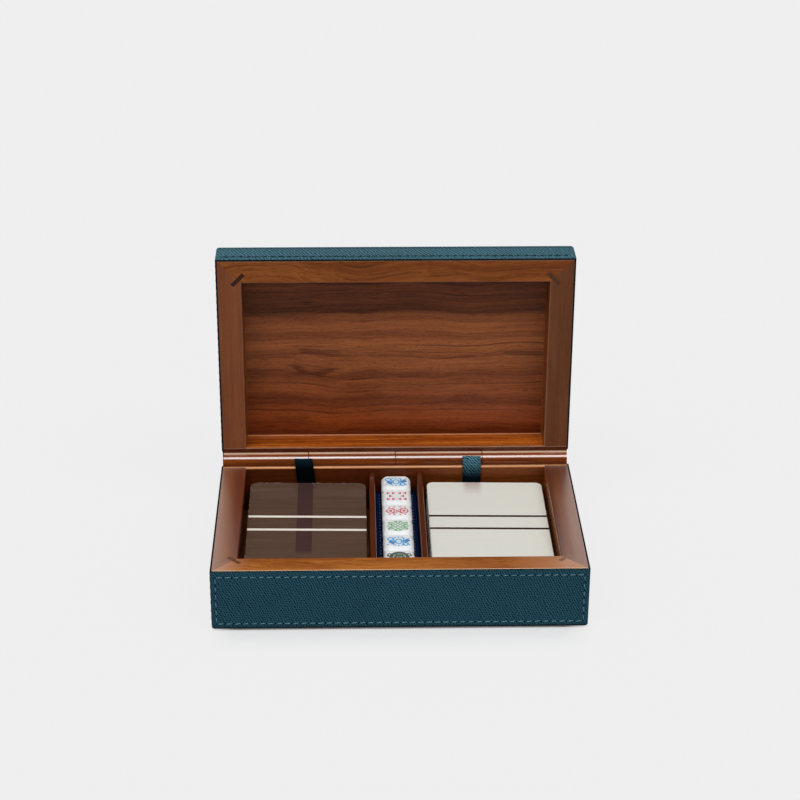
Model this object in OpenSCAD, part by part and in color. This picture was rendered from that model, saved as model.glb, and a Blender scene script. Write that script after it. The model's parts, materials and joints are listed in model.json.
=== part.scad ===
// Hinged card and dice box: walnut carcass, leather panels, wooden knuckle hinge.
// It stands open, with two decks of cards and a row of six dice in their bays.
// The origin is the middle of the underside, +X to the right, +Y to the hinge, +Z up.

/* [Cards and dice] */
// Width of one card
card_w = 63; // [56:0.5:72]
// Length of one card
card_l = 88; // [80:0.5:100]
// Corner radius of one card
card_corner_r = 3.6; // [2:0.1:6]
// Thickness of one card
card_t = 0.33; // [0.25:0.01:0.36]
// Cards in one deck
cards_per_deck = 54; // [40:1:60]
// Edge of one die
die_size = 16; // [12:0.5:18]
// Rounding of a die's edges
die_edge_r = 3; // [0.5:0.1:4]

/* [Bays] */
// Room on each long side of a deck
card_side_gap = 2.3; // [0.5:0.1:6]
// Room behind a deck, where its strap comes up
deck_back_gap = 4.8; // [2.8:0.1:10]
// Room in front of a deck, for a fingertip
deck_front_gap = 5.3; // [4.5:0.1:20]
// Least gap between neighbouring dice
die_gap = 0.1; // [0.05:0.05:1]
// Room at each end of the row of dice
die_end_gap = 0.35; // [0.1:0.05:4]
// Room on each side of a die in its cradle
die_side_gap = 0.2; // [0.05:0.05:1]
// Width of the cradle's leather strip beside the dice
cradle_side = 3.2; // [1.5:0.1:8]
// Thickness of the cradle under the dice
cradle_floor = 5.9; // [1:0.1:8]
// Height of the cradle's strips above its floor
cradle_lip = 4.6; // [1:0.1:8]
// Gap between the cradle and the walls of its bay
cradle_fit = 0.15; // [0.05:0.05:0.5]
// Thickness of a divider
divider_t = 3.2; // [2:0.1:6]
// Drop from the rim to the top of a divider
divider_drop = 3.5; // [1:0.1:10]
// Depth of the grooves that hold the dividers
groove_d = 2; // [1:0.1:2.8]
// Clearance of a divider in its grooves
groove_fit = 0.05; // [0.02:0.01:0.2]

/* [Carcass] */
// Thickness of the front and side rails
rail_t = 12.7; // [10:0.1:18]
// Height of the base's rim above the underside
base_h = 35.2; // [34:0.1:50]
// Thickness of the floor panel
floor_t = 7.5; // [3:0.1:8]
// Depth of the hollow in the lid
lid_recess = 15.2; // [12:0.1:25]
// Thickness of the lid's panel
panel_t = 3.9; // [3:0.1:8]
// Reach of the floor and the lid's panel into the rails
rebate_w = 4; // [2:0.1:7]
// Length of the spline across a mitre
spline_l = 9; // [4:0.1:10]
// Thickness of the spline
spline_w = 2.2; // [1:0.1:3]
// Distance from the inside corner to the middle of the spline
spline_in = 2.75; // [2.2:0.05:4]

/* [Leather] */
// Thickness of the leather
leather_t = 0.9; // [0.6:0.1:2]
// Outside radius where the leather turns under the base
turn_r = 3.5; // [2.1:0.1:5]
// Width of the leather that is turned under the base
turn_under = 6; // [5.5:0.1:12]
// Outside radius of the lid's upper edges at the front and the back
lid_edge_r = 2.5; // [2.1:0.1:4]
// Outside radius of the lid's upper edges at its two ends
lid_end_r = 5; // [2.1:0.1:6]
// Thickness of the suede under the base
suede_t = 1.1; // [1:0.1:3]
// Height of the turned leather above the surface
turn_clear = 0.2; // [0.05:0.05:0.5]
// Gap between the suede and the turned leather
suede_gap = 0.4; // [0.1:0.1:3]
// Corner radius of the suede
suede_corner_r = 3; // [1:0.1:10]

/* [Hinge] */
// Radius of the knuckles
barrel_r = 4.9; // [3.5:0.1:6]
// Ledge between the inside of the back rail and the knuckles
ledge_w = 3; // [3:0.1:6]
// Length of each middle knuckle
knuckle_l = 48; // [30:0.1:60]
// Gap between neighbouring knuckles
knuckle_gap = 0.4; // [0.2:0.05:1]
// Gap between a knuckle and the cove that it turns in
cove_gap = 0.3; // [0.2:0.05:0.8]
// Radius of the hinge pin
pin_r = 1.5; // [0.8:0.1:2]
// Running clearance of the pin in its bores
pin_fit = 0.05; // [0.02:0.01:0.1]
// Depth of the pin's ends inside the knuckles
pin_sink = 0.5; // [0.1:0.1:3]
// Angle to which the lid opens
lid_open = 90.5; // [90:0.5:100]
// Gap between the two rims when the lid is shut
rim_gap = 0.2; // [0.1:0.05:1]
// Gap between the two bevels behind the hinge when the lid is open
stop_gap = 0.3; // [0.1:0.05:1]
// Room that the leather leaves round the knuckles
barrel_clear = 1; // [0.5:0.1:3]

/* [Lift straps] */
// Width of a strap
strap_w = 10; // [5:0.5:20]
// Thickness of a strap
strap_t = 1; // [0.5:0.1:1.3]
// Gap between a strap and the wall behind it
strap_wall_gap = 0.4; // [0.3:0.05:0.5]
// Inside radius of the bend in a strap
strap_bend_r = 1.2; // [0.5:0.1:1.3]
// Length of a strap under its deck
strap_under = 62; // [20:1:75]
// Length of a strap's tab, from its fold to its end
tab_l = 6.3; // [4:0.1:7]
// Height of the fold above the rim
fold_rise = 0.45; // [0.3:0.05:1]
// Gap between the strap's upright part and the round root of its tab
fold_gap = 0.15; // [0.1:0.05:0.5]
// Angle of the left tab above the ledge
left_tab_lean = 80; // [36:1:90]
// Angle of the right tab above the ledge
right_tab_lean = 39; // [39:1:90]
// Offset of the left strap from the middle of its bay
left_strap_offset = 0.4; // [-20:0.1:20]
// Offset of the right strap from the middle of its bay
right_strap_offset = -6.5; // [-20:0.1:20]

/* [Hidden] */
$fn = 96;
// Cutting shapes reach this far, or this little past a face
far = 400;
over = 1;
die_count = 6;

// Plan: the inside is as large as the contents need
deck_h = cards_per_deck * card_t;
bay_w = card_w + 2 * card_side_gap;
cradle_w = die_size + 2 * (die_side_gap + cradle_side);
dice_bay_w = cradle_w + 2 * cradle_fit;
dice_row_l = die_count * die_size + (die_count - 1) * die_gap;
inner_w = 2 * (bay_w + divider_t) + dice_bay_w;
inner_d = max(card_l + deck_back_gap + deck_front_gap, dice_row_l + 2 * die_end_gap);
die_pitch = (inner_d - 2 * die_end_gap - die_size) / (die_count - 1);
back_t = ledge_w + 2 * barrel_r;
wood_w = inner_w + 2 * rail_t;
wood_d = rail_t + inner_d + back_t;
box_w = wood_w + 2 * leather_t;
box_d = wood_d + 2 * leather_t;

// Places along X
inner_x = inner_w / 2;
wood_x = wood_w / 2;
divider_x = dice_bay_w / 2;
bay_x = divider_x + divider_t + bay_w / 2;

// Places along Y
front_y = -box_d / 2;
wood_front_y = front_y + leather_t;
inner_front_y = wood_front_y + rail_t;
inner_back_y = inner_front_y + inner_d;
inner_mid_y = inner_front_y + inner_d / 2;
wood_back_y = inner_back_y + back_t;
back_y = wood_back_y + leather_t;
axis_y = inner_back_y + ledge_w + barrel_r;
deck_y = inner_back_y - deck_back_gap - card_l / 2;
fold_y = inner_back_y - strap_wall_gap - strap_t / 2;

// Places along Z, with the lid shut
floor_z = suede_t + floor_t;
divider_z = base_h - divider_drop;
axis_z = base_h + rim_gap / 2;
lid_rim_z = base_h + rim_gap;
panel_z = lid_rim_z + lid_recess;
lid_wood_z = panel_z + panel_t;
lid_top_z = lid_wood_z + leather_t;
lid_seam_z = lid_top_z - max(lid_edge_r, lid_end_r);
fold_z = base_h + fold_rise;
cradle_z = floor_z + cradle_floor;
deck_z = floor_z + strap_t;

// The V behind the hinge lets the lid lean back to its stop
bevel_angle = lid_open / 2;
bevel_gap = stop_gap / 2;
bevel_lip = (barrel_r + leather_t) * tan(bevel_angle) + bevel_gap / cos(bevel_angle);

walnut = "#7a3f1c";
walnut_panel = "#5f2f1a";
dark_walnut = "#3a1f16";
blue_leather = "#22455a";
navy_leather = "#0b1430";
suede_blue = "#1b2733";
steel = "#b8b8b8";

// A rectangle with round corners, standing on its middle
module rounded_rectangle(w, l, r) {
    square([w - 2 * r, l], center = true);
    square([w, l - 2 * r], center = true);
    for (x = [-1, 1], y = [-1, 1])
        translate([x * (w / 2 - r), y * (l / 2 - r)]) circle(r);
}

// A box between two corners
module block(low, high) {
    translate(low) cube(high - low);
}

// The lid is drawn shut and then turned open about the pin
module opened() {
    translate([0, axis_y, axis_z]) rotate([-lid_open, 0, 0]) translate([0, -axis_y, -axis_z]) children();
}

// The space behind the hinge on the base's side of the rim, between its bevel and the rim
module base_bevel() {
    translate([0, axis_y, axis_z]) rotate([90, 0, 90]) linear_extrude(far, center = true)
        polygon([[0, far], [0, -bevel_gap / cos(bevel_angle)],
            [far, -far * tan(bevel_angle) - bevel_gap / cos(bevel_angle)], [far, far]]);
}

// The same space on the lid's side, with the lid shut
module lid_bevel() {
    translate([0, 0, 2 * axis_z]) mirror([0, 0, 1]) base_bevel();
}

// A round bar along the hinge's axis, between two places along X
module on_axis(x_start, x_end, r) {
    translate([x_start, axis_y, axis_z]) rotate([0, 90, 0]) cylinder(h = x_end - x_start, r = r);
}

// Ends along X of the four knuckles: the first and third belong to the lid
knuckle_ends = [-wood_x, -knuckle_l, 0, knuckle_l, wood_x];
lid_knuckles = [0, 2];
base_knuckles = [1, 3];

module knuckles(numbers) {
    for (n = numbers)
        on_axis(knuckle_ends[n] + (n > 0 ? knuckle_gap / 2 : 0),
            knuckle_ends[n + 1] - (n < 3 ? knuckle_gap / 2 : 0), barrel_r);
}

module coves(numbers) {
    for (n = numbers)
        on_axis(knuckle_ends[n] - (n > 0 ? 0 : over), knuckle_ends[n + 1] + (n < 3 ? 0 : over),
            barrel_r + cove_gap);
}

module pin_bore() {
    on_axis(-far / 2, far / 2, pin_r + pin_fit);
}

// Plan of the front rail, with both ends mitred
module front_rail_plan() {
    polygon([[-wood_x, wood_front_y], [wood_x, wood_front_y],
        [inner_x, inner_front_y], [-inner_x, inner_front_y]]);
}

// Plan of the left rail, mitred at the front and square at the back
module left_rail_plan() {
    polygon([[-wood_x, wood_front_y], [-inner_x, inner_front_y],
        [-inner_x, inner_back_y], [-wood_x, inner_back_y]]);
}

// Plan of one spline across the left front mitre
module left_spline_plan() {
    translate([-inner_x, inner_front_y]) rotate(45) translate([-spline_in, 0])
        square([spline_w, spline_l], center = true);
}

// Plan of the panel that the rails hold, as wide as their rebates
module rebated_plan() {
    translate([0, inner_mid_y]) square([inner_w + 2 * rebate_w, inner_d + 2 * rebate_w], center = true);
}

// Grooves in the front and back rails for both dividers
module divider_grooves() {
    for (side = [-1, 1])
        translate([side * (divider_x + divider_t / 2), inner_mid_y, 0])
            block([-divider_t / 2 - groove_fit, -inner_d / 2 - groove_d - groove_fit, floor_z],
                [divider_t / 2 + groove_fit, inner_d / 2 + groove_d + groove_fit, divider_z + groove_fit]);
}

// A block between two heights whose four lower edges are rounded, along the front and back and at the ends
module soft_block(w, d, low, high, long_r, end_r) {
    intersection() {
        rotate([90, 0, 0]) linear_extrude(far, center = true) soft_section(w, low, high, end_r);
        rotate([90, 0, 90]) linear_extrude(far, center = true) soft_section(d, low, high, long_r);
    }
}

module soft_section(w, low, high, r) {
    translate([-w / 2, low + r]) square([w, high - low - r]);
    translate([r - w / 2, low]) square([w - 2 * r, high - low]);
    for (side = [-1, 1]) translate([side * (w / 2 - r), low + r]) circle(r);
}

// Wood of the base, on a plan, rounded where the leather turns under it
module base_wall() {
    intersection() {
        soft_block(wood_w, wood_d, suede_t, base_h, turn_r - leather_t, turn_r - leather_t);
        linear_extrude(base_h) children();
    }
}

// Base carcass

module base_front_rail() {
    color(walnut) difference() {
        base_wall() front_rail_plan();
        linear_extrude(floor_z) rebated_plan();
        divider_grooves();
        base_splines();
    }
}

module base_side_rail() {
    difference() {
        base_wall() left_rail_plan();
        linear_extrude(floor_z) rebated_plan();
        base_splines();
    }
}

module base_left_rail() {
    color(walnut) base_side_rail();
}

module base_right_rail() {
    color(walnut) mirror([1, 0, 0]) base_side_rail();
}

module base_back_rail() {
    color(walnut) difference() {
        union() {
            difference() {
                base_wall() translate([-wood_x, inner_back_y]) square([wood_w, back_t]);
                linear_extrude(floor_z) rebated_plan();
                divider_grooves();
                base_bevel();
                coves(lid_knuckles);
            }
            knuckles(base_knuckles);
        }
        pin_bore();
    }
}

module base_floor() {
    color(walnut_panel) translate([0, 0, suede_t]) linear_extrude(floor_t) rebated_plan();
}

module base_spline() {
    translate([0, 0, floor_z]) linear_extrude(base_h - floor_z) left_spline_plan();
}

module base_splines() {
    base_spline();
    mirror([1, 0, 0]) base_spline();
}

module base_left_spline() {
    color(dark_walnut) base_spline();
}

module base_right_spline() {
    color(dark_walnut) mirror([1, 0, 0]) base_spline();
}

// Bays

module divider() {
    block([divider_x, inner_front_y - groove_d, floor_z],
        [divider_x + divider_t, inner_back_y + groove_d, divider_z]);
}

module left_divider() {
    color(walnut) mirror([1, 0, 0]) divider();
}

module right_divider() {
    color(walnut) divider();
}

module dice_cradle() {
    half_l = inner_d / 2 - cradle_fit;
    color(navy_leather) translate([0, inner_mid_y, 0]) difference() {
        block([-cradle_w / 2, -half_l, floor_z], [cradle_w / 2, half_l, cradle_z + cradle_lip]);
        block([cradle_side - cradle_w / 2, -far, cradle_z], [cradle_w / 2 - cradle_side, far, far]);
    }
}

// A strap lies under its deck and bends up behind it
module strap(x) {
    back = inner_back_y - strap_wall_gap;
    bend = strap_bend_r + strap_t;
    up = fold_z - strap_t / 2 - fold_gap;
    color(blue_leather) translate([x, 0, 0]) rotate([90, 0, 90]) linear_extrude(strap_w, center = true) {
        translate([back - bend - strap_under, floor_z]) square([strap_under, strap_t]);
        translate([back - strap_t, floor_z + bend]) square([strap_t, up - floor_z - bend]);
        translate([back - bend, floor_z + bend]) intersection() {
            difference() {
                circle(bend);
                circle(strap_bend_r);
            }
            translate([0, -bend]) square(bend);
        }
    }
}

// The free end of a strap, which leans towards the knuckles from its fold
module strap_tab(x, lean) {
    color(blue_leather) translate([x, fold_y, fold_z]) rotate([90, 0, 90])
        linear_extrude(strap_w, center = true) rotate(lean) {
            circle(strap_t / 2);
            translate([0, -strap_t / 2]) square([tab_l, strap_t]);
        }
}

module left_strap() {
    strap(-bay_x + left_strap_offset);
}

module right_strap() {
    strap(bay_x + right_strap_offset);
}

module left_strap_tab() {
    strap_tab(-bay_x + left_strap_offset, left_tab_lean);
}

module right_strap_tab() {
    strap_tab(bay_x + right_strap_offset, right_tab_lean);
}

// Leather on the base

// Section of a base panel: upright, then turned under the wood; X runs inwards
module turned_section(w) {
    difference() {
        turned_outline(0, w);
        turned_outline(leather_t, far);
    }
}

module turned_outline(inset, w) {
    r = turn_r - inset;
    low = turn_clear + inset;
    translate([inset, low + r]) square([w - inset, far]);
    translate([inset + r, low]) square([w - inset - r, far]);
    translate([inset + r, low + r]) circle(r);
}

// A panel along a straight side, mitred at both ends, drawn for the front
module turned_panel(side_l, top_z) {
    intersection() {
        rotate([90, 0, 90]) linear_extrude(side_l, center = true) turned_section(turn_under);
        linear_extrude(top_z) polygon([[-side_l / 2, 0], [side_l / 2, 0],
            [side_l / 2 - turn_under, turn_under], [turn_under - side_l / 2, turn_under]]);
    }
}

module base_front_leather() {
    color(blue_leather) translate([0, front_y, 0]) turned_panel(box_w, base_h);
}

module base_back_leather() {
    color(blue_leather) translate([0, back_y, 0]) rotate(180) turned_panel(box_w, axis_z - bevel_lip);
}

module base_side_leather() {
    difference() {
        translate([-box_w / 2, 0, 0]) rotate(-90) turned_panel(box_d, base_h);
        base_bevel();
        on_axis(-far / 2, far / 2, barrel_r + barrel_clear);
    }
}

module base_left_leather() {
    color(blue_leather) base_side_leather();
}

module base_right_leather() {
    color(blue_leather) mirror([1, 0, 0]) base_side_leather();
}

module base_suede() {
    margin = 2 * (turn_under + suede_gap);
    color(suede_blue) linear_extrude(suede_t)
        rounded_rectangle(box_w - margin, box_d - margin, suede_corner_r);
}

module hinge_pin() {
    color(steel) on_axis(pin_sink - wood_x, wood_x - pin_sink, pin_r);
}

// Lid carcass

// A block with its four upper edges rounded, from the lid's rim up: the lid's outside, or a skin's depth inside it
module lid_block(inset) {
    high = lid_top_z - inset;
    translate([0, 0, lid_rim_z + high]) mirror([0, 0, 1])
        soft_block(box_w - 2 * inset, box_d - 2 * inset, lid_rim_z, high, lid_edge_r - inset, lid_end_r - inset);
}

// Wood of the lid, on a plan, rounded where the leather turns over it
module lid_wall() {
    intersection() {
        lid_block(leather_t);
        translate([0, 0, lid_rim_z]) linear_extrude(lid_wood_z - lid_rim_z) children();
    }
}

module lid_rebate() {
    translate([0, 0, panel_z]) linear_extrude(panel_t) rebated_plan();
}

module lid_front_rail() {
    color(walnut) opened() difference() {
        lid_wall() front_rail_plan();
        lid_rebate();
        lid_splines();
    }
}

module lid_side_rail() {
    difference() {
        lid_wall() left_rail_plan();
        lid_rebate();
        lid_splines();
    }
}

module lid_left_rail() {
    color(walnut) opened() lid_side_rail();
}

module lid_right_rail() {
    color(walnut) opened() mirror([1, 0, 0]) lid_side_rail();
}

module lid_back_rail() {
    color(walnut) opened() difference() {
        union() {
            difference() {
                lid_wall() translate([-wood_x, inner_back_y]) square([wood_w, back_t]);
                lid_rebate();
                lid_bevel();
                coves(base_knuckles);
            }
            knuckles(lid_knuckles);
        }
        pin_bore();
    }
}

module lid_panel() {
    color(walnut_panel) opened() lid_rebate();
}

module lid_spline() {
    translate([0, 0, lid_rim_z]) linear_extrude(lid_recess) left_spline_plan();
}

module lid_splines() {
    lid_spline();
    mirror([1, 0, 0]) lid_spline();
}

module lid_left_spline() {
    color(dark_walnut) opened() lid_spline();
}

module lid_right_spline() {
    color(dark_walnut) opened() mirror([1, 0, 0]) lid_spline();
}

// Leather on the lid

// The top sheet turns over the lid's upper edges, down to the seam with the side strips
module lid_top_leather() {
    color(blue_leather) opened() intersection() {
        difference() {
            lid_block(0);
            lid_block(leather_t);
        }
        translate([0, 0, lid_seam_z]) linear_extrude(far) square(far, center = true);
    }
}

// Plan of a lid panel along a straight side, mitred at both ends, drawn for the front
module lid_leather_plan(side_l) {
    polygon([[-side_l / 2, 0], [side_l / 2, 0],
        [side_l / 2 - leather_t, leather_t], [leather_t - side_l / 2, leather_t]]);
}

module lid_strip(low_z) {
    translate([0, 0, low_z]) linear_extrude(lid_seam_z - low_z) children();
}

module lid_front_leather() {
    color(blue_leather) opened() lid_strip(lid_rim_z) translate([0, front_y]) lid_leather_plan(box_w);
}

module lid_back_leather() {
    color(blue_leather) opened() lid_strip(axis_z + bevel_lip)
        translate([0, back_y]) rotate(180) lid_leather_plan(box_w);
}

module lid_side_leather() {
    difference() {
        lid_strip(lid_rim_z) translate([-box_w / 2, 0]) rotate(-90) lid_leather_plan(box_d);
        lid_bevel();
        on_axis(-far / 2, far / 2, barrel_r + barrel_clear);
    }
}

module lid_left_leather() {
    color(blue_leather) opened() lid_side_leather();
}

module lid_right_leather() {
    color(blue_leather) opened() mirror([1, 0, 0]) lid_side_leather();
}

// Contents

module deck(x) {
    translate([x, deck_y, deck_z]) linear_extrude(deck_h) rounded_rectangle(card_w, card_l, card_corner_r);
}

module left_deck() {
    color("#4a3a33") deck(-bay_x);
}

module right_deck() {
    color("#dcd9d0") deck(bay_x);
}

// A cube with round edges, on its lower face
module rounded_cube() {
    translate([0, 0, die_size / 2]) intersection() {
        die_prism();
        rotate([90, 0, 0]) die_prism();
        rotate([0, 90, 0]) die_prism();
    }
}

module die_prism() {
    linear_extrude(die_size, center = true) rounded_rectangle(die_size, die_size, die_edge_r);
}

// The first die is the one by the hinge
module die(number) {
    y = inner_mid_y + ((die_count + 1) / 2 - number) * die_pitch;
    color("white") translate([0, y, cradle_z]) rounded_cube();
}

base_front_rail();
base_left_rail();
base_right_rail();
base_back_rail();
base_floor();
base_left_spline();
base_right_spline();
left_divider();
right_divider();
dice_cradle();
base_front_leather();
base_left_leather();
base_right_leather();
base_back_leather();
base_suede();
left_strap();
right_strap();
left_strap_tab();
right_strap_tab();
hinge_pin();
lid_front_rail();
lid_left_rail();
lid_right_rail();
lid_back_rail();
lid_panel();
lid_left_spline();
lid_right_spline();
lid_top_leather();
lid_front_leather();
lid_left_leather();
lid_right_leather();
lid_back_leather();
left_deck();
right_deck();
die(1);  // die_1
die(2);  // die_2
die(3);  // die_3
die(4);  // die_4
die(5);  // die_5
die(6);  // die_6
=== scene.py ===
import json
import math
import random

import bmesh
import bpy
from mathutils import Matrix, Vector


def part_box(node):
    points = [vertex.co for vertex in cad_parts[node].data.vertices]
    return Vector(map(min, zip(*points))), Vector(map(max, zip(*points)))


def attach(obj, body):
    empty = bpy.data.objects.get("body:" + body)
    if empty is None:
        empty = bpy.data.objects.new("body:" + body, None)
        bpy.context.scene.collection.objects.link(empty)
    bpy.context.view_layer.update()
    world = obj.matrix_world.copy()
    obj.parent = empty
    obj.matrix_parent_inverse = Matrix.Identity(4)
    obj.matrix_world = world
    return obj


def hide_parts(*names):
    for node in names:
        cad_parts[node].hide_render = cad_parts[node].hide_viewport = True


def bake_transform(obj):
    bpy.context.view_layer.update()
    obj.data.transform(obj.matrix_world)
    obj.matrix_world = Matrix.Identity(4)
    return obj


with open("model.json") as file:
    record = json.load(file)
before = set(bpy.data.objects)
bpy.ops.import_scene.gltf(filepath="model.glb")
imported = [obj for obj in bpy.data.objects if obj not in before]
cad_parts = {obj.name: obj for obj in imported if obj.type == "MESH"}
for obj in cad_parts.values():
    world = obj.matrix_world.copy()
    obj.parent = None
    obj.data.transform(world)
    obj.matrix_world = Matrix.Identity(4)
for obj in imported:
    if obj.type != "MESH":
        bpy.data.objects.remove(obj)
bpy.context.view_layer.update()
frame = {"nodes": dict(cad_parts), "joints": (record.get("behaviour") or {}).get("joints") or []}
scene = bpy.context.scene

# Studio: a pale floor that runs on past the picture, and a long soft strip of lamps high in front.
# Floor and room look pale to the eye, the room behind the box also in its polish, and they throw
# little light back. Along the foot of the box's front the floor shows more of the shadow.


class Socket:
    """One output of a shader: sums on it add Math nodes, and node() adds any other node."""

    def __init__(self, tree, out=None):
        self.tree, self.out = tree, out

    def node(self, kind, inputs=None, out=0, **settings):
        made = self.tree.nodes.new("ShaderNode" + kind)
        for key, value in settings.items():
            if key == "stops":
                stops = made.color_ramp.elements
                stops.remove(stops[1])
                stops[0].position, stops[0].color = value[0]
                for place, colour in value[1:]:
                    stops.new(place).color = colour
            elif key == "steps":
                made.color_ramp.interpolation = value
            else:
                setattr(made, key, value)
        for key, value in (inputs or {}).items():
            if isinstance(value, Socket):
                self.tree.links.new(value.out, made.inputs[key])
            else:
                made.inputs[key].default_value = shade(value) if isinstance(value, str) else value
        return Socket(self.tree, made.outputs[out] if made.outputs else None)

    def __add__(self, other):
        return self.node("Math", {0: self, 1: other}, operation="ADD")

    def __sub__(self, other):
        return self.node("Math", {0: self, 1: other}, operation="SUBTRACT")

    def __rsub__(self, other):
        return self.node("Math", {0: other, 1: self}, operation="SUBTRACT")

    def __mul__(self, other):
        return self.node("Math", {0: self, 1: other}, operation="MULTIPLY")

    def __truediv__(self, other):
        return self.node("Math", {0: self, 1: other}, operation="DIVIDE")

    def __rtruediv__(self, other):
        return self.node("Math", {0: other, 1: self}, operation="DIVIDE")

    def __pow__(self, other):
        return self.node("Math", {0: self, 1: other}, operation="POWER")

    def __abs__(self):
        return self.node("Math", {0: self}, operation="ABSOLUTE")

    __radd__ = __add__
    __rmul__ = __mul__


def shade(code):
    parts = [int(code[i : i + 2], 16) / 255 for i in (1, 3, 5)]
    return (*[c / 12.92 if c < 0.04045 else ((c + 0.055) / 1.055) ** 2.4 for c in parts], 1)


def limited(value, slope=1.0, start=0.0):
    inputs = {0: value, 1: slope, 2: start}
    return value.node("Math", inputs, operation="MULTIPLY_ADD", use_clamp=True)


def between(value, start, end):
    return limited(value, 1 / (end - start), -start / (end - start))


def smoothed(value, start, end, low=0.0, high=1.0):
    limits = {0: value, 1: start, 2: end, 3: low, 4: high}
    return value.node("MapRange", limits, interpolation_type="SMOOTHSTEP")


def part_of(vector, i):
    return vector.node("SeparateXYZ", {0: vector}, out=i)


def reach_along(vector, way):
    return vector.node("VectorMath", {0: vector, 1: way}, out="Value", operation="DOT_PRODUCT")


def new_finish(name):
    made = bpy.data.materials.new(name)
    made.use_nodes = True
    made.node_tree.nodes.clear()
    return made, Socket(made.node_tree).node("TexCoord", out="Object")


def link(name, data):
    made = bpy.data.objects.new(name, data)
    scene.collection.objects.link(made)
    return made


scene.view_settings.view_transform = "Standard"

eye_spot, eye_turn, eye_dip, eye_roll = (-0.02377, -0.94524, 0.56298), -1.499, 26.083, 0.292
eye = bpy.data.cameras.new("eye")
eye.sensor_width, eye.lens = 36, 91.705
eye.clip_start, eye.clip_end = 0.01, 60
eye_stand = link("eye", eye)
eye_stand.matrix_world = (
    Matrix.Translation(eye_spot)
    @ Matrix.Rotation(math.radians(eye_turn), 4, "Z")
    @ Matrix.Rotation(math.radians(90 - eye_dip), 4, "X")
    @ Matrix.Rotation(math.radians(eye_roll), 4, "Z")
)
scene.camera = eye_stand

lamps, strip_light, lamp_spread = 7, 2.5, math.radians(24)
strip_lean, strip_reach = math.radians(28), math.radians(60)
for i in range(lamps):
    lamp = bpy.data.lights.new(f"strip_lamp_{i + 1}", "SUN")
    lamp.energy, lamp.angle = strip_light / lamps, lamp_spread
    aside = Matrix.Rotation(strip_reach * (i / (lamps - 1) - 0.5), 4, "Y")
    link(lamp.name, lamp).matrix_world = Matrix.Rotation(strip_lean, 4, "X") @ aside

pale, room_light, mirror_light, softbox_light = 0.86, 0.33, 0.03, 3.4
softbox_rim, softbox_core = 0.93, 0.985
room = bpy.data.worlds.new("room")
room.use_nodes = True
room.node_tree.nodes.clear()
aim = Socket(room.node_tree).node("TexCoord", out="Generated")
overhead = reach_along(aim, (0, -math.sin(strip_lean), math.cos(strip_lean)))
softbox = smoothed(overhead, softbox_rim, softbox_core, 0.0, softbox_light)
behind = smoothed(part_of(aim, 1), 0.2, 0.7, mirror_light, pale)
camera, mirrored = (aim.node("LightPath", out=ray) for ray in ("Is Camera Ray", "Is Glossy Ray"))
level = room_light + camera * (pale - room_light) + mirrored * (behind + softbox - room_light)
glow = aim.node("Background", {"Color": "#ffffff", "Strength": level})
aim.node("OutputWorld", {"Surface": glow})
scene.world = room

band_start, band_full, band_end, band_side = -0.085, -0.064, -0.057, 0.098571
end_fade, side_fade = 0.002, 0.0142857
floor_finish, at = new_finish("pale_floor")
lit, dim = (at.node("BsdfDiffuse", {"Color": (tone, tone, tone, 1)}) for tone in (0.85, 0.25))
even = at.node("Emission", {"Color": (pale, pale, pale, 1)})
aside, depth = (part_of(at, i) for i in range(2))
band = smoothed(depth, band_start, band_full) * between(depth, band_end, band_end - end_fade)
band *= between(abs(aside), band_side, band_side - side_fade)
seen = at.node("MixShader", {0: 0.93 - band * 0.8, 1: lit, 2: even})
camera = at.node("LightPath", out="Is Camera Ray")
at.node("OutputMaterial", {"Surface": at.node("MixShader", {0: camera, 1: dim, 2: seen})})
bm = bmesh.new()
bmesh.ops.create_grid(bm, x_segments=1, y_segments=1, size=12)
floor_mesh = bpy.data.meshes.new("floor")
bm.to_mesh(floor_mesh)
bm.free()
floor_mesh.materials.append(floor_finish)
link("floor", floor_mesh)

# Base carcass: four walnut rails, mitred in front, with an eased arris round the opening.
# Grain runs along each rail under a satin lacquer; paler arrises show wear and a painted highlight.
# A loose spline crosses each front mitre, and the back rail carries two hinge knuckles.


def mixed(factor, a, b, how="MIX"):
    return factor.node("Mix", {0: factor, 6: a, 7: b}, out=2, data_type="RGBA", blend_type=how)


def noise(at, scale, detail, roughness=0.5, distortion=0.0, out=0):
    inputs = {"Scale": scale, "Detail": detail, "Roughness": roughness, "Distortion": distortion}
    return at.node("TexNoise", {"Vector": at, **inputs}, out=out)


def surface(at, inputs, height=None, strength=None, depth=None):
    if height is not None:
        bump = {"Height": height, "Strength": strength, "Distance": depth}
        inputs["Normal"] = at.node("Bump", bump)
    at.node("OutputMaterial", {"Surface": at.node("BsdfPrincipled", inputs)})


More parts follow.
